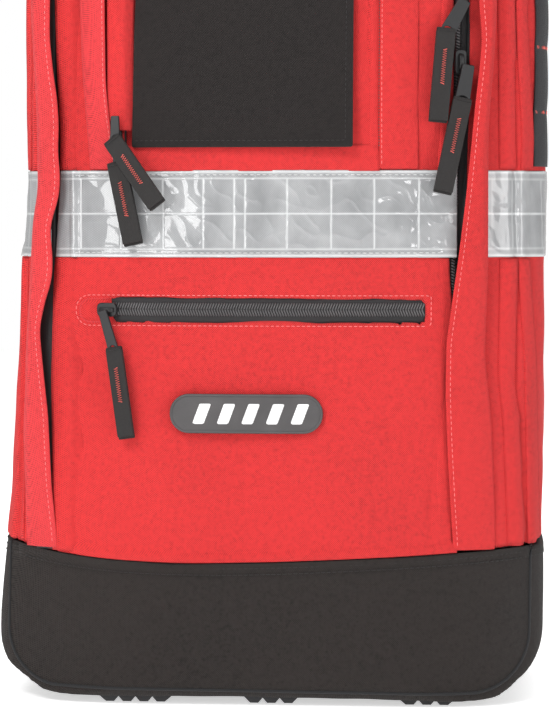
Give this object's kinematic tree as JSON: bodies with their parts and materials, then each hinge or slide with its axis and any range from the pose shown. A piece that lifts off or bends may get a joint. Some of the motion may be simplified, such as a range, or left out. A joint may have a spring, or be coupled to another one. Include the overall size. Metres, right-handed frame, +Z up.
{
  "type": "trauma backpack",
  "caption": "Upright medical backpack with a drop-down front door, zip pocket, flapped front compartment, reflective band, black boot on rubber runners, and a padded harness.",
  "frame": {"origin": "on the ground, on the underside of the middle runner, half way across it", "axes": "+Z up, -Y out of the front door, +X to the right as seen from the front"},
  "size_m": [0.3222, 0.3107, 0.6005],
  "materials": {
    "red_cordura": "coated woven nylon, red",
    "black_cordura": "coated woven nylon, charcoal black",
    "softshell": "knitted softshell, charcoal",
    "webbing": "woven nylon webbing, black",
    "pull_textile": "metal tab with a folded webbing grip, black",
    "reflective_tape": "prismatic retroreflective tape, silver grey",
    "zip_coil": "nylon coil and tape, black",
    "slider_metal": "die-cast zinc, glossy black paint",
    "buckle_nylon": "moulded nylon, black",
    "patch_rubber": "soft moulded badge, charcoal",
    "foot_rubber": "ribbed moulded rubber, black",
    "air_mesh": "foam under spacer mesh, black",
    "frame_plastic": "HDPE sheet, natural white",
    "stay_aluminium": "flat bar, plain",
    "lining": "ripstop lining over foam, grey"
  },
  "bodies": {
    "bag": {"main_shell": "red_cordura", "base_boot": "black_cordura", "back_panel": "black_cordura", "frame_sheet": "frame_plastic", "frame_stay_left": "stay_aluminium", "frame_stay_right": "stay_aluminium", "shelf_divider": "lining", "runner_left": "foot_rubber", "runner_middle": "foot_rubber", "runner_right": "foot_rubber", "band_side_left": "reflective_tape", "band_side_right": "reflective_tape", "daisy_chain_left": "webbing", "daisy_chain_right": "webbing", "back_pad_left": "air_mesh", "back_pad_right": "air_mesh", "lumbar_pad": "air_mesh", "shoulder_strap_left": "air_mesh", "shoulder_strap_right": "air_mesh", "strap_webbing_left": "webbing", "strap_webbing_right": "webbing", "ladder_lock_left": "buckle_nylon", "ladder_lock_right": "buckle_nylon", "load_lifter_left": "webbing", "load_lifter_right": "webbing", "sternum_webbing_right": "webbing", "sternum_buckle_female": "buckle_nylon", "hip_wing_left": "air_mesh", "hip_wing_right": "air_mesh", "hip_webbing_right": "webbing", "hip_buckle_female": "buckle_nylon"},
    "door": {"door_shell": "red_cordura", "pocket_zip": "zip_coil", "door_mesh_pocket": "air_mesh", "main_zip": "zip_coil", "band_front": "reflective_tape", "name_patch": "patch_rubber", "compartment_flap_left": "red_cordura", "compartment_flap_right": "red_cordura", "compartment_zip": "zip_coil"},
    "front_panel": {"compartment_panel": "red_cordura"},
    "map_flap_body": {"map_flap": "softshell"},
    "storm_flap_left_body": {"storm_flap_left": "red_cordura"},
    "storm_flap_right_body": {"storm_flap_right": "red_cordura"},
    "haul_handle": {"haul_handle_webbing": "webbing", "haul_handle_grip": "air_mesh"},
    "sternum_release": {"sternum_buckle_male": "buckle_nylon", "sternum_webbing_left": "webbing"},
    "hip_release": {"hip_buckle_male": "buckle_nylon", "hip_webbing_left": "webbing"},
    "main_upper_slider_body": {"main_upper_slider": "slider_metal"},
    "main_upper_pull_body": {"main_upper_pull": "pull_textile"},
    "main_lower_slider_body": {"main_lower_slider": "slider_metal"},
    "main_lower_pull_body": {"main_lower_pull": "pull_textile"},
    "compartment_upper_slider_body": {"compartment_upper_slider": "slider_metal"},
    "compartment_upper_pull_body": {"compartment_upper_pull": "pull_textile"},
    "compartment_lower_slider_body": {"compartment_lower_slider": "slider_metal"},
    "compartment_lower_pull_body": {"compartment_lower_pull": "pull_textile"},
    "pocket_slider_body": {"pocket_slider": "slider_metal"},
    "pocket_pull_body": {"pocket_pull": "pull_textile"}
  },
  "joints": [
    {"name": "door_hinge", "type": "hinge", "parent": "bag", "child": "door", "pos_m": [0, -0.1235, 0.092], "axis": [1, 0, 0], "range_deg": [0, 100]},
    {"name": "front_panel_hinge", "type": "hinge", "parent": "door", "child": "front_panel", "pos_m": [0, -0.1237, 0.318], "axis": [1, 0, 0], "range_deg": [0, 100]},
    {"name": "map_flap_hinge", "type": "hinge", "parent": "front_panel", "child": "map_flap_body", "pos_m": [0, -0.1088, 0.484], "axis": [-1, 0, 0], "range_deg": [0, 120]},
    {"name": "storm_flap_left_hinge", "type": "hinge", "parent": "bag", "child": "storm_flap_left_body", "pos_m": [-0.14, -0.0982, 0.102], "axis": [0, -0.0271, -0.9996], "range_deg": [0, 105], "stiffness_Nm_per_rad": 0.02, "springref_deg": -11.46},
    {"name": "storm_flap_right_hinge", "type": "hinge", "parent": "bag", "child": "storm_flap_right_body", "pos_m": [0.131, -0.1032, 0.102], "axis": [0, 0, 1], "range_deg": [0, 105], "stiffness_Nm_per_rad": 0.02, "springref_deg": -11.46},
    {"name": "haul_handle_hinge", "type": "hinge", "parent": "bag", "child": "haul_handle", "pos_m": [0.0065, 0.03, 0.564], "axis": [1, 0, 0], "range_deg": [-55, 55]},
    {"name": "sternum_release_slide", "type": "slide", "parent": "bag", "child": "sternum_release", "axis": [-1, 0, 0], "range_m": [0, 0.025]},
    {"name": "hip_release_slide", "type": "slide", "parent": "bag", "child": "hip_release", "axis": [-1, 0, 0], "range_m": [0, 0.036]},
    {"name": "main_upper_slider_slide", "type": "slide", "parent": "door", "child": "main_upper_slider_body", "axis": [0.0147, 0, 0.9999], "range_m": [0, 0.03]},
    {"name": "main_upper_pull_hinge", "type": "hinge", "parent": "main_upper_slider_body", "child": "main_upper_pull_body", "pos_m": [0.112, -0.11734, 0.407], "axis": [-0.9538, -0.3006, 0], "range_deg": [0, 120]},
    {"name": "main_lower_slider_slide", "type": "slide", "parent": "door", "child": "main_lower_slider_body", "axis": [0.0147, 0, 0.9999], "range_m": [-0.26, 0]},
    {"name": "main_lower_pull_hinge", "type": "hinge", "parent": "main_lower_slider_body", "child": "main_lower_pull_body", "pos_m": [0.1144, -0.11645, 0.37], "axis": [-0.9548, -0.2973, 0], "range_deg": [0, 120]},
    {"name": "compartment_upper_slider_slide", "type": "slide", "parent": "door", "child": "compartment_upper_slider_body", "axis": [0, 0, 1], "range_m": [0, 0.08]},
    {"name": "compartment_upper_pull_hinge", "type": "hinge", "parent": "compartment_upper_slider_body", "child": "compartment_upper_pull_body", "pos_m": [-0.0878, -0.12649, 0.341], "axis": [-0.9767, 0.2146, 0], "range_deg": [0, 120]},
    {"name": "compartment_lower_slider_slide", "type": "slide", "parent": "door", "child": "compartment_lower_slider_body", "axis": [0, 0, 1], "range_m": [0, 0.006]},
    {"name": "compartment_lower_pull_swing", "type": "hinge", "parent": "compartment_lower_slider_body", "child": "compartment_lower_pull_body", "pos_m": [-0.0878, -0.12317, 0.325], "axis": [0.2123, 0.9772, 0], "range_deg": [0, 6]},
    {"name": "pocket_slider_travel", "type": "hinge", "parent": "door", "child": "pocket_slider_body", "pos_m": [-0.002, 0.411, 0.2305], "axis": [0, 0, 1], "range_deg": [0, 17]},
    {"name": "pocket_pull_swing", "type": "hinge", "parent": "pocket_slider_body", "child": "pocket_pull_body", "pos_m": [-0.095, -0.12043, 0.229], "axis": [-0.2287, -0.9735, 0], "range_deg": [-30, 60]}
  ]
}
